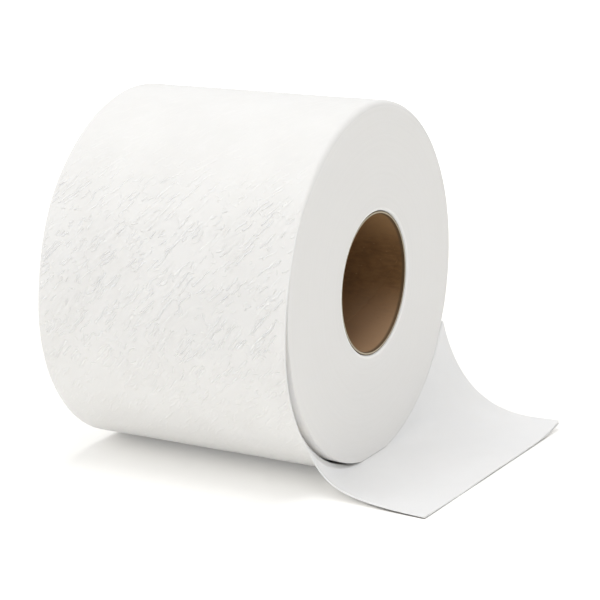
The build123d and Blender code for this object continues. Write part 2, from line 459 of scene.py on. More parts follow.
class Relief:
    """Heights of the embossing over the unrolled sheet, from short pressed strokes."""

    def __init__(self, length):
        self.random = np.random.default_rng(SEED)
        self.low = np.array([-END_X - FIELD_MARGIN, -FIELD_MARGIN])
        self.high = np.array([END_X + TAIL_REACH_BACK + FIELD_MARGIN, length + FIELD_MARGIN])
        count = np.ceil((self.high - self.low) / FIELD_STEP).astype(int) + 1
        self.field = np.zeros(count, np.float32)

    def press(self, centre, lean, bend, length, width, height):
        """Presses one stroke into the field."""
        reach = length / 2 + STROKE_REACH * width
        first = np.maximum(((centre - reach - self.low) / FIELD_STEP).astype(int), 0)
        last = np.minimum(((centre + reach - self.low) / FIELD_STEP).astype(int) + 1, self.field.shape)
        if (last <= first).any():
            return
        x = self.low[0] + FIELD_STEP * np.arange(first[0], last[0])[:, None] - centre[0]
        s = self.low[1] + FIELD_STEP * np.arange(first[1], last[1])[None, :] - centre[1]
        along = x * math.cos(lean) + s * math.sin(lean)
        across = s * math.cos(lean) - x * math.sin(lean) - bend * along ** 2
        past = np.maximum(np.abs(along) - length / 2, 0)
        stroke = height * np.exp(-(across ** 2 + past ** 2) / (2 * width ** 2))
        window = self.field[first[0]:last[0], first[1]:last[1]]
        np.maximum(window, stroke, out=window)

    def sizes(self, ranges):
        """Sizes of one stroke, drawn from their ranges."""
        return {name: self.random.uniform(*ends) for name, ends in ranges.items()}

    def press_groups(self):
        """Presses groups of leaning strokes, side by side."""
        for _ in range(GROUP_COUNT):
            middle = self.low + (self.high - self.low) * self.random.random(2)
            lean = STROKE_LEAN + self.random.normal(0, GROUP_LEAN_SPREAD)
            side = np.array([-math.sin(lean), math.cos(lean)])
            forward = np.array([math.cos(lean), math.sin(lean)])
            spacing = self.random.uniform(*GROUP_SPACING)
            number = self.random.integers(*GROUP_NUMBER)
            for place in range(number):
                shift = spacing * (place - (number - 1) / 2)
                centre = middle + side * shift + forward * self.random.normal(0, GROUP_SHIFT_SPREAD)
                sizes = self.sizes(GROUP_STROKE)
                bend = self.random.normal(0, GROUP_BEND_SPREAD)
                swing = self.random.normal(0, GROUP_SWING_SPREAD)
                self.press(centre, lean + swing, bend, **sizes)

    def press_squiggles(self):
        """Presses small curled strokes between the groups."""
        for _ in range(SQUIGGLE_COUNT):
            centre = self.low + (self.high - self.low) * self.random.random(2)
            lean = STROKE_LEAN + self.random.normal(SQUIGGLE_LEAN, SQUIGGLE_LEAN_SPREAD)
            sizes = self.sizes(SQUIGGLE_STROKE)
            bend = self.random.normal(0, SQUIGGLE_BEND_SPREAD)
            self.press(centre, lean, bend, **sizes)

    def at(self, x, s):
        """Height at places of the unrolled sheet, between the field's own points."""
        place = (np.stack([x, s], -1) - self.low) / FIELD_STEP
        cell = np.clip(np.floor(place).astype(int), 0, np.array(self.field.shape) - 2)
        share = np.clip(place - cell, 0, 1)
        i, k = cell[..., 0], cell[..., 1]
        u, v = share[..., 0], share[..., 1]
        near = self.field[i, k] * (1 - v) + self.field[i, k + 1] * v
        far = self.field[i + 1, k] * (1 - v) + self.field[i + 1, k + 1] * v
        return near * (1 - u) + far * u


def new_object(name, data):
    """A new object in the scene."""
    made = bpy.data.objects.new(name, data)
    bpy.context.scene.collection.objects.link(made)
    return made


class Shell:
    """Vertices and faces of one mesh, gathered patch by patch."""

    def __init__(self):
        self.points = np.zeros((0, 3))
        self.sheet = np.zeros((0, 3))
        self.faces = []
        self.kinds = []

    def add(self, points, sheet=None):
        """Adds points in any grid shape and returns their numbers in that shape.

        sheet gives each its place on the unrolled sheet and how deep the embossing is there.
        """
        points = np.asarray(points, float)
        shape = points.shape[:-1]
        first = len(self.points)
        if sheet is None:
            sheet = np.zeros_like(points)
        self.points = np.concatenate([self.points, points.reshape(-1, 3)])
        self.sheet = np.concatenate([self.sheet, sheet.reshape(-1, 3)])
        return np.arange(first, len(self.points)).reshape(shape)

    def face(self, corners, kind):
        """One face, left out where it has shrunk to a line."""
        corners = [int(corner) for corner in corners]
        kept = [corner for place, corner in enumerate(corners) if corner != corners[place - 1]]
        if len(kept) > 2:
            self.faces.append(kept)
            self.kinds.append(kind)

    def strip(self, first, second, kind):
        """Quads between two rows of as many points."""
        for place in range(len(first) - 1):
            self.face((first[place], first[place + 1], second[place + 1], second[place]), kind)

    def grid(self, numbers, kind):
        """Quads over a grid of points."""
        for place in range(len(numbers) - 1):
            self.strip(numbers[place], numbers[place + 1], kind)

    def leaning_grid(self, numbers, kind):
        """Quads that lean with the strokes: each spans LEAN_ROWS more rows in the next column."""
        for here, there in zip(numbers[:-1].tolist(), numbers[1:].tolist()):
            for row in range(LEAN_ROWS):
                self.face((here[0], there[row + 1], there[row]), kind)
                self.face((there[-1], here[-1 - row], here[-2 - row]), kind)
            self.strip(here[:-LEAN_ROWS], there[LEAN_ROWS:], kind)

    def zip_rows(self, many, few, kind):
        """Faces between a row of many points and a row of few, which each meet the nearest of the many."""
        apart = self.points[many][:, None] - self.points[few][None]
        nearest = np.linalg.norm(apart, axis=2).argmin(0)
        nearest[0] = 0
        nearest[-1] = len(many) - 1
        for number in range(len(few) - 1):
            stretch = many[nearest[number]:nearest[number + 1] + 1]
            self.face([*stretch, few[number + 1], few[number]], kind)

    def object(self, name, materials):
        """The mesh as an object in metres, with even outward normals and soft shading."""
        mesh = bpy.data.meshes.new(name)
        mesh.from_pydata((self.points * MM).tolist(), [], self.faces)
        places = mesh.attributes.new("sheet", "FLOAT_VECTOR", "POINT")
        places.data.foreach_set("vector", self.sheet.astype(np.float32).ravel())
        for material in materials.values():
            mesh.materials.append(material)
        order = list(materials)
        mesh.polygons.foreach_set("material_index", [order.index(kind) for kind in self.kinds])
        loose = bmesh.new()
        loose.from_mesh(mesh)
        bmesh.ops.recalc_face_normals(loose, faces=loose.faces)
        loose.to_mesh(mesh)
        loose.free()
        mesh.shade_smooth()
        mesh.set_sharp_from_angle(angle=SHARP_ANGLE)
        return new_object(name, mesh)


def round_edge(start, through, outward, turn):
    """Points round an edge: start plus parts of through, bulging by outward. The first is left out."""
    angle = np.asarray(turn)[..., None] * (np.arange(1, EDGE_STEPS + 1) / EDGE_STEPS)
    sunk = (1 - np.cos(angle)) / (1 - np.cos(np.asarray(turn)))[..., None]
    points = start[..., None, :] + through[..., None, :] * sunk[..., None]
    return points + outward[..., None, :] * np.sin(angle)[..., None]


def crossing(waves, x, y):
    """Crossing waves added up, each given by its size, its rates along x and y and its start."""
    return sum(size * np.sin(rate_x * x + rate_y * y + start) for size, rate_x, rate_y, start in waves)


def wobble(x, s, size):
    """Soft unevenness over the sheet."""
    return size * crossing(WAVES, x, s) / sum(wave[0] for wave in WAVES)


class Paper:
    """Builds the sheet as one closed mesh: wound turns, slack turn and tail."""

    def __init__(self):
        self.shell = Shell()
        self.outer_path = slack_path(0)
        self.inner_path = slack_path(SHEET)
        self.slack_length = stops_of(self.outer_path)[-1]
        top = arc_run(OUTER_HALF_CENTRE, OUTER_HALF_RADIUS, PEEL_ANGLE, CUT_ANGLE)
        self.path = self.outer_path + [top]
        self.length = stops_of(self.path)[-1]
        self.relief = Relief(self.length)
        self.relief.press_groups()
        self.relief.press_squiggles()
        self.lay_rows()
        self.lay_skin()
        self.lay_tail()
        self.lay_sheet_edge()
        self.lay_inner_side()
        self.lay_body()
        self.lay_ends()

    def lay_rows(self):
        """Rows round the roll. The tail's front edge and the peel point fall on rows of their own."""
        tail_angle = 2 * HALF - math.acos((-TAIL_FRONT_START - LOWER_CENTRE[0]) / (LOWER_RADIUS - SHEET))
        to_front = stops_of(self.outer_path)[2] + LOWER_RADIUS * (FLOOR_ANGLE - tail_angle)
        marks = [0, to_front + TAIL_CORNER, self.slack_length, self.length]
        rows = []
        for start, end in zip(marks, marks[1:]):
            rows.append(np.linspace(start, end, round((end - start) / ROW_STEP) + 1)[:-1])
        self.tail_row = len(rows[0])
        self.peel_row = self.tail_row + len(rows[1])
        self.s = np.concatenate(rows + [[self.length]])
        self.places, self.normals = follow(self.path, self.s)
        rise = smooth(0, RIM_RUN, self.s - self.slack_length)
        self.rim_depth = SHEET + (RIM_ROUND - SHEET) * rise
        self.rim_bulge = EDGE_BULGE + (RIM_ROUND - EDGE_BULGE) * rise
        self.rim_turn = HALF - QUARTER * smooth(-RIM_TURN_RUN, 0, self.s - self.slack_length)
        self.half_width = END_X - self.rim_bulge
        self.inner_x = self.half_width + self.rim_bulge * np.sin(self.rim_turn)

    def stroke_depth(self, s, height):
        """Depth of the embossing, which fades at the cut edge, near the floor and over the top."""
        ends = smooth(0, CUT_FADE, s) * smooth(0, CUT_FADE, self.length - s)
        near_floor = PRESSED_LOW + (1 - PRESSED_LOW) * smooth(*PRESSED_LOW_HEIGHTS, height)
        near_top = 1 - (1 - PRESSED_TOP) * smooth(*PRESSED_TOP_HEIGHTS, height)
        return ends * near_floor * near_top

    def lay_skin(self):
        """Outer side of the last turn, from its cut edge at the back round to where it lies under it."""
        self.columns = round(2 * END_X / COLUMN_STEP)
        across = np.linspace(-1, 1, self.columns + 1)
        x = across[:, None] * self.half_width[None, :]
        s = np.broadcast_to(self.s, x.shape)
        low = self.places[None, :, 1]
        depth = self.stroke_depth(s, low) * smooth(0, RIM_FADE, self.half_width - np.abs(x))
        height = self.relief.at(x, s) * depth
        from_cut = smooth(0, WOBBLE_CUT_FADE, s) * smooth(0, WOBBLE_CUT_FADE, self.length - s)
        height += wobble(x, s, WOBBLE) * from_cut * smooth(*WOBBLE_FLOOR_FADE, low - FLOOR_Z)
        places = self.places + self.normals * height[..., None]
        self.skin = self.shell.add(in_space(places, x), np.stack([x, s, depth], -1))
        self.shell.leaning_grid(self.skin, "side")

    def lay_tail(self):
        """Both sides of the tail, past the roll's end."""
        rows = slice(0, self.tail_row + 1)
        s = self.s[rows]
        share = (np.arange(1, TAIL_COLUMNS + 1) / TAIL_COLUMNS) ** TAIL_CROWDING
        turned = np.clip(share * TAIL_REACH_FRONT / TAIL_CORNER_REACH, 0, 1)
        excess = TAIL_CORNER * np.sqrt(1 - (1 - turned) ** 2)
        pulled = s - excess[:, None] * smooth(s[-1] - TAIL_CORNER_FADE, s[-1], s)
        places, _ = follow(self.outer_path, pulled)
        under = tail_points(places, share[:, None], FLOOR_Z)
        inner_s = np.interp(pulled, stops_of(self.outer_path), stops_of(self.inner_path))
        inner_places, _ = follow(self.inner_path, inner_s)
        over = tail_points(inner_places, share[:, None], SHEET_TOP)
        lift, self.split = self.tail_lift(under, share[:, None])
        under[..., 2] += lift
        over[..., 2] += lift + self.split
        joined = np.concatenate([self.shell.points[self.skin[-1, rows]][None], under])
        outward = unit(np.cross(np.gradient(joined, axis=1), np.gradient(joined, axis=0)))[1:]
        depth = self.stroke_depth(pulled, under[..., 2])
        depth = depth * smooth(0, CUT_FADE, TAIL_REACH_FRONT * (1 - share[:, None]))
        sheet = np.stack([under[..., 0], pulled, depth], -1)
        off_floor = smooth(*FLOOR_FADE, under[..., 2] - FLOOR_Z)
        height = self.relief.at(under[..., 0], pulled) * depth * off_floor
        under += outward * height[..., None]
        self.tail_under = np.concatenate([self.skin[-1, rows][None], self.shell.add(under, sheet)])
        self.shell.grid(self.tail_under, "side")
        self.tail_over = over

    def tail_lift(self, under, share):
        """How far the tail stands off the floor, and how far its two plies part at the far corner."""
        x, y = under[..., 0], under[..., 1]
        lift = TAIL_LIFT * (TAIL_LIFT_MIDDLE + crossing(TAIL_WAVES, x, y)) * share ** 2
        from_corner = np.hypot(x - x[-1, 0], y - y[-1, 0])
        lift = lift + TAIL_CURL * np.exp(-(from_corner / TAIL_CURL_REACH) ** 2)
        split = PLY_SPLIT * np.exp(-(from_corner / PLY_SPLIT_REACH) ** 2)
        return lift, split

    def lay_sheet_edge(self):
        """The sheet's own edge, in one band from the peel point at one side round the tail to the other."""
        rows = np.arange(self.peel_row + 1)
        inner_s = np.interp(self.s[rows], stops_of(self.outer_path), stops_of(self.inner_path))
        inner_s[-1] = stops_of(self.inner_path)[-1]
        self.inner_places, _ = follow(self.inner_path, inner_s)
        right = in_space(self.inner_places, self.inner_x[rows])
        left = in_space(self.inner_places, -self.inner_x[rows])
        back_x = np.linspace(-1, 1, self.columns + 1) * self.inner_x[0]
        back = in_space(np.broadcast_to(self.inner_places[0], (self.columns + 1, 2)), back_x)
        stretches = [
            (self.skin[-1, self.peel_row:self.tail_row - 1:-1], right[:self.tail_row - 1:-1]),
            (self.tail_under[1:, -1], self.tail_over[:, -1]),
            (self.tail_under[-1, -2::-1], self.tail_over[-1, -2::-1]),
            (self.tail_under[-2:0:-1, 0], self.tail_over[-2::-1, 0]),
            (self.skin[::-1, 0], back[::-1]),
            (self.skin[0, 1:self.peel_row + 1], left[1:]),
        ]
        outer = np.concatenate([numbers for numbers, _ in stretches])
        inner = np.concatenate([points for _, points in stretches])
        self.marks = np.cumsum([0] + [len(numbers) for numbers, _ in stretches])
        start = self.shell.points[outer]
        through = inner - start
        turn = np.full(len(outer), HALF)
        turn[:self.marks[1]] = self.rim_turn[self.peel_row:self.tail_row - 1:-1]
        turn[self.marks[5]:] = self.rim_turn[1:self.peel_row + 1]
        outward = unit(np.cross(np.gradient(start, axis=0), through))
        outward[0] = ALONG
        outward[-1] = -ALONG
        sunk = outward * (EDGE_BULGE * np.sin(turn))[:, None]
        ring = round_edge(start, through - sunk, outward * EDGE_BULGE, turn)
        self.part_plies(ring, start, through)
        self.ring = self.shell.add(ring)
        self.shell.grid(np.concatenate([outer[:, None], self.ring], 1), "cut")

    def part_plies(self, ring, start, through):
        """Shows the two plies along the tail's cut edge, parted at the far corner."""
        end, front = TAIL_COLUMNS - 1, self.tail_row
        columns = np.concatenate([np.arange(end), np.full(front + 1, end), np.arange(end)[::-1]])
        rows = np.concatenate([np.full(end, front), np.arange(front + 1)[::-1], np.zeros(end, int)])
        shown = slice(TAIL_COLUMNS // 2, -(TAIL_COLUMNS // 2))
        here = np.arange(self.marks[1], self.marks[4])[shown]
        columns, rows = columns[shown], rows[shown]
        middle = (self.shell.points[self.tail_under[1:]] + self.tail_over) / 2
        beside_column = np.minimum(columns, end - PLY_GROOVE_COLUMNS)
        beside_row = np.clip(rows, PLY_GROOVE_ROWS, front - PLY_GROOVE_ROWS)
        inward = unit(middle[beside_column, beside_row] - middle[columns, rows])
        parted = self.split[columns, rows] / PLY_SPLIT
        groove = PLY_GROOVE + (PLY_GROOVE_DEPTH - PLY_GROOVE) * parted
        ply = PLY_SHARE * SHEET * unit(through[here])
        ring[here, 0] = start[here] + ply
        ring[here, 1] = start[here] + through[here] / 2 + inward * groove[:, None]
        ring[here, 2] = start[here] + through[here] - ply

    def lay_inner_side(self):
        """Inner side of the slack turn, which few see, and of the tail, which lies open."""
        marks, last = self.marks, self.ring[:, -1]
        right = np.zeros(self.peel_row + 1, int)
        right[self.tail_row:] = last[:marks[1]][::-1]
        left = np.concatenate([[last[marks[5] - 1]], last[marks[5]:]])
        back = last[marks[4]:marks[5]][::-1]
        right[0] = back[-1]
        open_rows = np.arange(1, self.tail_row)
        right[open_rows] = self.shell.add(in_space(self.inner_places[open_rows], self.inner_x[open_rows]))
        depths = np.concatenate([INNER_DEPTHS, [END_X], INNER_DEPTHS[::-1]])
        sides = np.sign(np.arange(len(depths)) - len(INNER_DEPTHS))
        x = sides * (self.inner_x[1:self.peel_row + 1, None] - depths)
        sagged = self.sag()[1:, None] * smooth(0, INNER_SAG_DEPTH, depths)[:, None]
        middle = self.shell.add(in_space(self.inner_places[1:, None] + sagged, x))
        inner = np.concatenate([left[1:, None], middle, right[1:, None]], 1)
        self.shell.grid(inner, "inner")
        self.shell.zip_rows(back, inner[0], "inner")
        self.apex = inner[-1]
        over = np.zeros((TAIL_COLUMNS + 1, self.tail_row + 1), int)
        over[0] = right[:self.tail_row + 1]
        over[1:, -1] = last[marks[1]:marks[2]]
        over[-1, :-1] = last[marks[2]:marks[3]][::-1]
        over[1:-1, 0] = last[marks[3]:marks[4]][::-1]
        over[1:-1, 1:-1] = self.shell.add(self.tail_over[:-1, 1:-1])
        self.shell.grid(over, "inner")

    def sag(self):
        """How the slack turn's inner side sags in towards the turn below, low at the front."""
        to_body = np.array(INNER_HALF_CENTRE) - self.inner_places
        gap = np.linalg.norm(to_body, axis=1) - INNER_HALF_RADIUS
        y, z = self.inner_places.T
        here = smooth(*INNER_SAG_LOW, -z) * smooth(*INNER_SAG_FRONT, -y)
        return unit(to_body) * (np.maximum(gap - INNER_SAG_GAP, 0) * here)[:, None]

    def lay_body(self):
        """The turn that the slack one has come away from, with its rounded rims."""
        path = body_path()
        length = stops_of(path)[-1]
        count = round(length / BODY_STEP)
        s = np.linspace(0, length, count + 1)[1:-1]
        places, normals = follow(path, s)
        rim = BODY_RIM + (RIM_ROUND - BODY_RIM) * smooth(length - RIM_RUN, length, s)
        rim = rim * smooth(BODY_RIM_START, RIM_RUN / 2, s)
        shares = np.linspace(-1, 1, INNER_COLUMNS + 1)
        x = shares[None, :] * (END_X - rim)[:, None]
        rows = self.shell.add(in_space(np.broadcast_to(places[:, None], x.shape + (2,)), x))
        self.shell.zip_rows(self.apex, rows[0], "turn")
        self.shell.grid(rows, "turn")
        self.shell.zip_rows(self.skin[:, -1], rows[-1], "turn")
        self.rim_loops = {}
        for side, column in ((-1, 0), (1, -1)):
            start = in_space(places, side * (END_X - rim))
            inward = -in_space(normals, 0) * rim[:, None]
            ring = self.shell.add(round_edge(start, inward, side * rim[:, None] * ALONG, QUARTER))
            band = np.concatenate([rows[:, column][:, None], ring], 1)
            self.shell.grid(band, "end")
            self.shell.strip(np.full(EDGE_STEPS + 1, self.apex[column]), band[0], "end")
            top = self.top_rim(side, column)
            self.shell.strip(band[-1], top[-1], "end")
            self.rim_loops[side] = np.concatenate([top[:, -1], ring[::-1, -1]])

    def top_rim(self, side, column):
        """Rounded rim over the top of the roll, from the peel point to the cut edge."""
        rows = slice(self.peel_row + 1, None)
        inward = -in_space(self.normals[rows], 0) * self.rim_depth[rows, None]
        start = self.shell.points[self.skin[column, rows]]
        outward = side * self.rim_bulge[rows, None] * ALONG
        sheet = np.repeat(self.shell.sheet[self.skin[column, rows]][:, None], EDGE_STEPS, 1)
        sheet[..., 0] += side * self.rim_bulge[rows, None] * np.arange(1, EDGE_STEPS + 1) / EDGE_STEPS
        ring = self.shell.add(round_edge(start, inward, outward, QUARTER), sheet)
        first = self.ring[0 if side > 0 else -1]
        ring = np.concatenate([first[None], ring])
        band = np.concatenate([self.skin[column, self.peel_row:][:, None], ring], 1)
        self.shell.grid(band, "side")
        return band

    def lay_ends(self):
        """End faces, with the soft rim of the hole, and the hole between them."""
        hole = {}
        round_rate, in_rate, side_rate = END_WOBBLE_RATES
        for side, loop in self.rim_loops.items():
            edge = self.shell.points[loop]
            angle = np.arctan2(edge[:, 2], edge[:, 1])
            direction = np.stack([np.zeros(len(loop)), np.cos(angle), np.sin(angle)], 1)
            along = side * ALONG
            rings = [loop]
            target = along * END_X + direction * (HOLE_RADIUS + HOLE_ROUND)
            for number in range(1, FACE_RINGS + 1):
                share = number / FACE_RINGS
                points = edge + (target - edge) * share
                fade = math.sin(HALF * share)
                inward = in_rate * share + side_rate * np.cos(angle)
                points[:, 0] += fade * wobble(round_rate * angle, inward, END_WOBBLE) - fade * END_SINK
                rings.append(self.shell.add(points))
            for number in range(1, HOLE_RINGS + 1):
                lean = QUARTER * number / HOLE_RINGS
                sunk = HOLE_ROUND * (1 - math.cos(lean))
                radius = HOLE_RADIUS + HOLE_ROUND * (1 - math.sin(lean))
                rings.append(self.shell.add(along * (END_X - sunk) + direction * radius))
            for ring, deeper in zip(rings, rings[1:]):
                self.shell.strip([*ring, ring[0]], [*deeper, deeper[0]], "end")
            hole[side] = rings[-1]
        self.shell.strip([*hole[-1], hole[-1][0]], [*hole[1], hole[1][0]], "end")


def on_tube(x, radius, angle):
    """Points about the core's axis."""
    return np.stack([x, radius * np.cos(angle), radius * np.sin(angle)], -1)


def build_core(materials):
    """Wound cardboard tube: its edge shows as a step on a spiral line inside."""
    shell = Shell()
    mouth = END_X - CORE_RECESS
    turn = np.linspace(0, 1, CORE_SIDES + 1)
    lap = CORE_LAP * np.clip((turn - 1 + CORE_LAP_SHARE) / CORE_LAP_SHARE, 0, 1)
    x = np.linspace(-mouth, mouth, CORE_STEPS + 1)[:, None] * np.ones(CORE_SIDES + 1)
    angle = 2 * HALF * (turn[None, :] + (x + END_X) / CORE_PITCH)
    inner = shell.add(on_tube(x, CORE_RADIUS - CORE_WALL + lap, angle))
    outer = shell.add(on_tube(x, CORE_RADIUS, angle)[:, :-1])
    outer = np.concatenate([outer, outer[:, :1]], 1)
    shell.grid(inner, "inside")
    shell.strip(inner[:, 0], inner[:, -1], "inside")
    shell.grid(outer, "inside")
    for end in (0, -1):
        shell.strip(inner[end], outer[end], "edge")
    return shell.object("core_tube_card", materials)


class Look:
    """A material built from nodes: the shader, and short calls for what feeds it."""

    def __init__(self, name, colour, rough, **constants):
        self.material = bpy.data.materials.new(name)
        self.material.use_nodes = True
        self.nodes = self.material.node_tree.nodes
        self.links = self.material.node_tree.links
        self.shader = self.nodes["Principled BSDF"]
        self.shader.inputs["Base Color"].default_value = (*colour, 1)
        self.shader.inputs["Roughness"].default_value, *self.rough_range = rough
        for name, value in constants.items():
            self.shader.inputs[name.replace("_", " ")].default_value = value

    def feed(self, socket, value):
        """Links a socket, or sets it where the value is plain."""
        if isinstance(value, bpy.types.NodeSocket):
            self.links.new(value, socket)
        else:
            socket.default_value = value

    def node(self, kind, inputs=(), **settings):
        """A new node with its settings and inputs. The inputs come in its own order or by their names."""
        node = self.nodes.new("ShaderNode" + kind)
        for name, value in settings.items():
            setattr(node, name, value)
        for socket, value in inputs.items() if isinstance(inputs, dict) else enumerate(inputs):
            self.feed(node.inputs[socket], value)
        return node

    def math(self, operation, *values):
        """Sum on single values."""
        return self.node("Math", values, operation=operation).outputs[0]

    def vector(self, operation, *values):
        """Sum on vectors."""
        node = self.node("VectorMath", values, operation=operation)
        return node.outputs["Value" if operation == "LENGTH" else "Vector"]

    def place(self):
        """Place on the part, in metres."""
        return self.node("TexCoord").outputs["Object"]

    def attribute(self, name):
        """The vector that the mesh holds under a name."""
        return self.node("Attribute", attribute_name=name).outputs["Vector"]

    def split(self, vector):
        """A vector's three values."""
        return self.node("SeparateXYZ", [vector]).outputs

    def join(self, x, y):
        """A flat vector from two values."""
        return self.node("CombineXYZ", [x, y]).outputs[0]

    def turned(self, vector, angle):
        """A vector turned about Z."""
        inputs = {"Vector": vector, "Angle": angle}
        return self.node("VectorRotate", inputs, rotation_type="Z_AXIS").outputs[0]

    def noise_outputs(self, dimensions, source, scale, detail, rough):
        """A noise's value from 0 to 1, and its colour."""
        name = "W" if dimensions == "1D" else "Vector"
        inputs = {name: source, "Scale": scale, "Detail": detail, "Roughness": rough}
        return self.node("TexNoise", inputs, noise_dimensions=dimensions).outputs

    def noise(self, vector, scale, detail, rough, stretch=None):
        """Noise from 0 to 1 in space."""
        if stretch is not None:
            vector = self.vector("MULTIPLY", vector, stretch)
        return self.noise_outputs("3D", vector, scale, detail, rough)[0]

    def ramp(self, value, low, high, first=0.0, last=1.0):
        """Even change from first to last as the value goes from low to high."""
        inputs = (value, low, high, first, last)
        return self.node("MapRange", inputs, interpolation_type="SMOOTHSTEP").outputs[0]

    def blend(self, share, first, second):
        """Colour between two."""
        node = self.node("Mix", [share], data_type="RGBA")
        sockets = [socket for socket in node.inputs if socket.type == "RGBA"]
        for socket, colour in zip(sockets, (first, second)):
            self.feed(socket, colour if isinstance(colour, bpy.types.NodeSocket) else (*colour, 1))
        return [socket for socket in node.outputs if socket.type == "RGBA"][0]

    def relief(self, height, depth):
        """Bump by a height from 0 to 1, depth metres deep."""
        bump = self.node("Bump", {"Distance": depth, "Height": height})
        self.feed(self.shader.inputs["Normal"], bump.outputs[0])

    def colour(self, value):
        """Sets the colour."""
        self.feed(self.shader.inputs["Base Color"], value)

    def roughness(self, grain):
        """Lets the roughness follow a grain from 0 to 1."""
        self.feed(self.shader.inputs["Roughness"], self.ramp(grain, *MIDDLE, *self.rough_range))


def pressed_strokes(look, sheet, shift, cell, length, width, swing, bend, left_out):
    """Height from 0 to 1 of pressed strokes, from a third of the length to the whole of it long."""
    leaning = look.turned(look.vector("ADD", sheet, shift), -STROKE_LEAN)
    scaled = look.vector("DIVIDE", leaning, cell)
    inputs = {"Vector": scaled, "Scale": 1.0, "Randomness": CELL_STRAY}
    cells = look.node("TexVoronoi", inputs, voronoi_dimensions="2D")
    chance = look.split(cells.outputs["Color"])
    local = look.vector("MULTIPLY", look.vector("SUBTRACT", scaled, cells.outputs["Position"]), cell)
    swung = look.turned(local, look.math("MULTIPLY_ADD", chance[0], 2 * swing, -swing))
    along, across, _ = look.split(swung)
    curl = look.math("MULTIPLY_ADD", chance[1], 2 * bend, -bend)
    curled = look.math("MULTIPLY", curl, look.math("MULTIPLY", along, along))
    across = look.math("SUBTRACT", across, curled)
    half_length = look.math("MULTIPLY_ADD", chance[2], length / 3, length / 6)
    past = look.math("MAXIMUM", look.math("SUBTRACT", look.math("ABSOLUTE", along), half_length), 0.0)
    distance = look.vector("LENGTH", look.join(across, past))
    stroke = look.ramp(distance, 0.0, width, 1.0, 0.0)
    drawn = look.math("FRACT", look.math("MULTIPLY", chance[0], KEPT_RATE))
    kept = look.ramp(drawn, left_out, left_out + KEPT_FADE)
    return look.math("MULTIPLY", stroke, kept)


def embossing(look):
    """Height from 0 to 1 of the whole pressed pattern, with its fade at the edges."""
    x, s, depth = look.split(look.attribute("sheet"))
    flat = look.join(x, s)
    waver = look.noise_outputs("2D", flat, *NOISES["waver"])["Color"]
    flat = look.vector("ADD", flat, look.vector("MULTIPLY", waver, WAVER))
    strokes = {kind: pressed_strokes(look, flat, **values) for kind, values in STROKES.items()}
    patches = look.noise(flat, *NOISES["patches"])
    groups = look.math("MULTIPLY", strokes["long"], look.ramp(patches, *LONG_PATCHES))
    between = look.math("MULTIPLY", strokes["short"], look.ramp(patches, *SHORT_PATCHES))
    height = look.math("MAXIMUM", groups, look.math("MULTIPLY", between, SHORT_SHARE))
    height = look.math("MAXIMUM", height, look.math("MULTIPLY", strokes["curls"], CURL_SHARE))
    return look.math("MULTIPLY", height, depth)


def fibres(look, place):
    """Fine tangled fibres of the tissue, from 0 to 1, drawn out a little along the roll."""
    drawn = look.noise(place, *NOISES["fibres"])
    cloud = look.noise(place, *NOISES["fibre_cloud"])
    return look.math("MULTIPLY_ADD", cloud, 1 - FIBRE_SHARE, look.math("MULTIPLY", drawn, FIBRE_SHARE))


def tissue_side():
    """Outer side of the sheet: pressed strokes over fine fibres, with a painted highlight on their crests,
    paler low down with painted light for floor bounce and light through the slack turn.
    """
    look = Look("tissue_side", TISSUE_SIDE, ROUGH["side"], **PAPER_SOFT)
    place = look.place()
    pressed = embossing(look)
    grain = fibres(look, place)
    cloudy = look.noise(place, *NOISES["side_cloud"])
    paper = look.blend(look.ramp(cloudy, *MIDDLE), TISSUE_SHADE, TISSUE_SIDE)
    _, _, z = look.split(place)
    # Painted light: paler towards the floor
    paper = look.blend(look.ramp(z, *PAINTED_LIGHT_HEIGHTS), paper, TISSUE_LOW_PAINTED_LIGHT)
    # Painted highlight: pressed crests blend towards a paler colour
    look.colour(look.blend(look.math("MULTIPLY", pressed, CREST_HIGHLIGHT_SHARE), paper, TISSUE_CREST_HIGHLIGHT))
    look.roughness(grain)
    look.relief(look.math("MULTIPLY_ADD", grain, SIDE_GRAIN, pressed), PRESSED_DEPTH)
    return look.material


def tissue_end():
    """End face: the edges of the wound turns, cut clean."""
    look = Look("tissue_end", TISSUE_END, ROUGH["end"], **PAPER_SOFT)
    place = look.place()
    _, y, z = look.split(place)
    radius = look.vector("LENGTH", look.join(y, z))
    angle = look.math("DIVIDE", look.math("ARCTAN2", z, y), 2 * HALF)
    turns = look.math("SUBTRACT", look.math("DIVIDE", radius, TURN_PITCH), angle)
    ridge = look.math("SINE", look.math("MULTIPLY", look.math("FRACT", turns), HALF))
    wander = look.noise(place, *NOISES["turn_wander"])
    uneven = look.math("MULTIPLY_ADD", wander, TURN_WANDER, radius)
    packed = look.noise_outputs("1D", uneven, *NOISES["packed_turns"])[0]
    grain = fibres(look, place)
    ridges = look.math("MULTIPLY", ridge, RIDGE_SHARE)
    lines = look.math("MULTIPLY_ADD", packed, PACKED_SHARE, ridges)
    tone = look.ramp(look.math("MULTIPLY_ADD", grain, END_TONE_GRAIN, lines), *END_TONE)
    faces = look.blend(tone, TISSUE_END_DARK, TISSUE_END)
    look.colour(look.blend(look.ramp(radius, *TISSUE_HOLE_RADII), faces, TISSUE_HOLE))
    look.roughness(grain)
    look.relief(look.math("MULTIPLY_ADD", grain, END_GRAIN, lines), TURN_DEPTH)
    return look.material


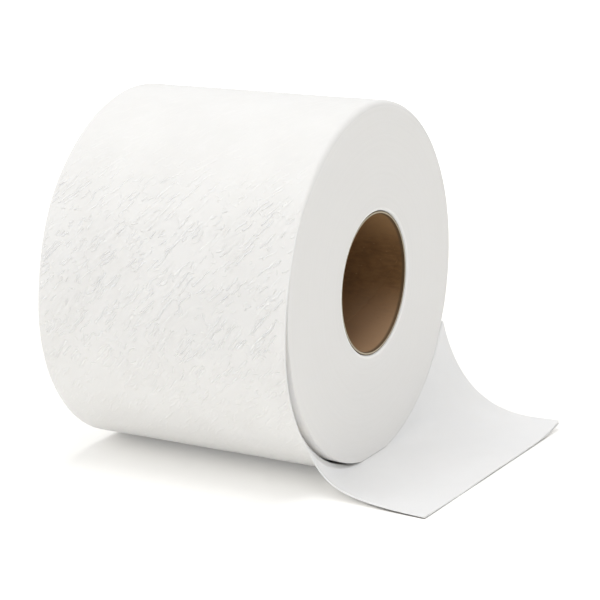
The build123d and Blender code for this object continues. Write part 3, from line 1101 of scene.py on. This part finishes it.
def tissue_inner(name, colour=TISSUE_INNER, **soft):
    """Inner side of the sheet, its edges and the turn below: smooth, with fine crepe across the sheet."""
    look = Look(name, colour, ROUGH["inner"], **{**PAPER_SOFT, **soft})
    place = look.place()
    grain = fibres(look, place)
    crepe = look.noise(place, *NOISES["crepe"])
    cloudy = look.noise(place, *NOISES["inner_cloud"])
    look.colour(look.blend(look.ramp(cloudy, *MIDDLE), TISSUE_INNER_DARK, colour))
    look.roughness(grain)
    look.relief(look.math("MULTIPLY_ADD", crepe, CREPE_SHARE, grain), TURN_DEPTH)
    return look.material


def card_inside():
    """Inside of the tube: grey-brown board with long fibres and a few pale flecks, with painted light over
    its top and low down near its mouths, and painted shade as a dark band at its rim.
    """
    look = Look("card_inside", CARD_LIGHT, ROUGH["card"], Specular_IOR_Level=CARD_GLOSS)
    place = look.place()
    x, _, z = look.split(place)
    out = look.math("ABSOLUTE", x)
    long_fibres = look.noise(place, *NOISES["card_fibres"])
    blotches = look.math("MULTIPLY", look.noise(place, *NOISES["card_blotches"]), 1 - CARD_FIBRE_SHARE)
    tone = look.math("MULTIPLY_ADD", long_fibres, CARD_FIBRE_SHARE, blotches)
    board = look.blend(look.ramp(tone, *CARD_MIDDLE), CARD_DARK, CARD_LIGHT)
    # Painted light over the top of the inside, and low down near the mouths
    top = look.ramp(z, *CARD_TOP_LIGHT_HEIGHTS)
    low = look.ramp(z, *CARD_MOUTH_LIGHT_HEIGHTS)
    mouth = look.math("MULTIPLY", low, look.ramp(out, *CARD_MOUTH_LIGHT_PLACES))
    # Painted shade: dark band inside next to the mouths
    rim = look.math("MULTIPLY", look.ramp(out, *CARD_RIM_SHADE_PLACES), CARD_RIM_SHADE_SHARE)
    fleck = look.ramp(look.noise(place, *NOISES["card_flecks"]), *CARD_FLECKS)
    layers = ((top, CARD_TOP_PAINTED_LIGHT), (mouth, CARD_MOUTH_PAINTED_LIGHT), (rim, CARD_PAINTED_SHADE_LINE), (fleck, CARD_FLECK))
    for share, colour in layers:
        board = look.blend(share, board, colour)
    look.colour(board)
    look.roughness(long_fibres)
    look.relief(tone, CARD_DEPTH)
    return look.material


def card_edge():
    """Cut edge of the tube: its plies show as fine rings, with painted shade as dark lines along its inner
    and outer rims.
    """
    look = Look("card_edge", CARD_EDGE, ROUGH["card_edge"], Specular_IOR_Level=CARD_EDGE_GLOSS)
    place = look.place()
    _, y, z = look.split(place)
    radius = look.vector("LENGTH", look.join(y, z))
    ply = look.math("SINE", look.math("MULTIPLY", radius, 2 * HALF / CARD_PLY))
    rough = look.noise(place, *NOISES["card_cut"])
    tone = look.math("MULTIPLY_ADD", ply, CARD_PLY_SHARE, rough)
    board = look.blend(look.ramp(tone, *MIDDLE), CARD_EDGE_DARK, CARD_EDGE)
    # Painted shade: dark lines at the inner and outer radii of the cut edge
    outer = look.ramp(radius, *CARD_SHADE_LINE_OUTER)
    inner = look.ramp(radius, *CARD_SHADE_LINE_INNER)
    look.colour(look.blend(look.math("MAXIMUM", outer, inner), board, CARD_PAINTED_SHADE_LINE))
    look.relief(tone, CARD_EDGE_DEPTH)
    return look.material


def lay_floor():
    """Pale floor that shows white to the camera and keeps the roll's shadow, darkest where it is touched:
    there a painted contact shadow darkens its colour and takes away its glow.
    """
    height = FLOOR_Z * MM - FLOOR_SINK
    corners = [(x * FLOOR_HALF, y * FLOOR_HALF, height) for x, y in ((-1, -1), (1, -1), (1, 1), (-1, 1))]
    mesh = bpy.data.meshes.new("floor")
    mesh.from_pydata(corners, [], [(0, 1, 2, 3)])
    floor = new_object("floor", mesh)
    look = Look("floor", FLOOR_PALE, ROUGH["floor"])
    look.nodes.remove(look.shader)
    seen = look.node("LightPath").outputs["Is Camera Ray"]
    near = look.node("AmbientOcclusion", {"Distance": SHADE_REACH}, samples=SHADE_SAMPLES)
    open_share = look.ramp(near.outputs["AO"], *SHADE_OPEN)
    # Painted contact shadow: where the floor is closed in, the camera sees it darker and without glow
    painted_contact_shade = look.math("MULTIPLY", seen, look.math("SUBTRACT", 1.0, open_share))
    matt = look.node("BsdfDiffuse", {"Color": look.blend(painted_contact_shade, FLOOR_PALE, FLOOR_PAINTED_CONTACT_SHADE)})
    far = look.ramp(look.vector("LENGTH", look.place()), *FLOOR_FAR, FLOOR_GLOW, FLOOR_FAR_GLOW)
    strength = look.math("MULTIPLY", look.math("MULTIPLY", seen, open_share), far)
    glow = look.node("Emission", {"Strength": strength})
    both = look.node("AddShader", [matt.outputs[0], glow.outputs[0]])
    look.feed(look.nodes["Material Output"].inputs["Surface"], both.outputs[0])
    mesh.materials.append(look.material)


def light_room():
    """Even soft light from all round, which shows white behind the floor."""
    world = bpy.data.worlds.new("studio")
    world.use_nodes = True
    bpy.context.scene.world = world
    nodes, links = world.node_tree.nodes, world.node_tree.links
    seen = nodes.new("ShaderNodeLightPath")
    level = nodes.new("ShaderNodeMapRange")
    level.inputs["To Min"].default_value = ROOM_LIGHT
    links.new(seen.outputs["Is Camera Ray"], level.inputs["Value"])
    links.new(level.outputs["Result"], nodes["Background"].inputs["Strength"])
    nodes["Background"].inputs["Color"].default_value = (1, 1, 1, 1)
    for name, lamp in LAMPS.items():
        data = bpy.data.lights.new(name, "AREA")
        data.shape = "RECTANGLE"
        data.size, data.size_y = lamp["size"]
        data.energy = lamp["power"]
        made = new_object(name, data)
        made.location = lamp["place"]
        made.rotation_mode = "QUATERNION"
        made.rotation_quaternion = (-Vector(lamp["place"])).to_track_quat("-Z", "Y")


def place_camera():
    """Camera on a circle round its target, with no roll."""
    data = bpy.data.cameras.new("camera")
    data.sensor_width = CAMERA_SENSOR
    data.lens = CAMERA_LENS
    camera = new_object("camera", data)
    level = math.cos(CAMERA_RISE)
    towards = Vector((
        math.sin(CAMERA_AZIMUTH) * level,
        -math.cos(CAMERA_AZIMUTH) * level,
        math.sin(CAMERA_RISE),
    ))
    camera.location = Vector(CAMERA_TARGET) + towards * CAMERA_DISTANCE
    camera.rotation_mode = "QUATERNION"
    camera.rotation_quaternion = towards.to_track_quat("Z", "Y")
    bpy.context.scene.camera = camera


tissue = {
    "side": tissue_side(),
    "end": tissue_end(),
    "inner": tissue_inner("tissue_inner"),
    # Painted warm bounce light: the turn below gets a warmer, paler copy of the inner paper
    "turn": tissue_inner("tissue_turn", TISSUE_TURN_PAINTED_BOUNCE, **TURN_SOFT),
    "cut": tissue_inner("tissue_cut"),
}
card = {"inside": card_inside(), "edge": card_edge()}

roll = Paper().shell.object("paper_sheet", tissue)
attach(roll, "root")
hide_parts("paper_roll")

core = build_core(card)
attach(core, "root")
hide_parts("core_tube")

lay_floor()
light_room()
place_camera()
bpy.context.scene.view_settings.view_transform = "Standard"
